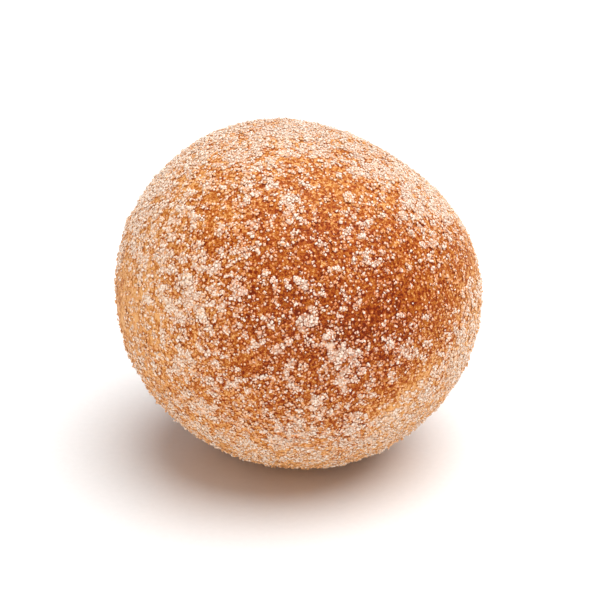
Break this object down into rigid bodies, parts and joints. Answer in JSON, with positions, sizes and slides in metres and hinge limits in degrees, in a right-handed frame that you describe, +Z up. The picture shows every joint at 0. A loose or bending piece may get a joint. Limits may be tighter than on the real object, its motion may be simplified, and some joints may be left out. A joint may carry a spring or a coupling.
{
  "type": "quark ball",
  "caption": "Round fried ball of curd-cheese dough, a little lopsided, rolled in granulated sugar, resting on a small flat spot.",
  "frame": {"origin": "middle of the underside of the bounding box, on the flat spot that the ball rests on", "axes": "+X along the ball's longer way across, +Z up, and -Y towards the front, where the crust is browned most"},
  "size_m": [0.05, 0.0482, 0.047],
  "materials": {
    "fried_crust": "matte",
    "granulated_sugar": "satin"
  },
  "bodies": {
    "root": {"dough_ball": "fried_crust"}
  },
  "joints": []
}
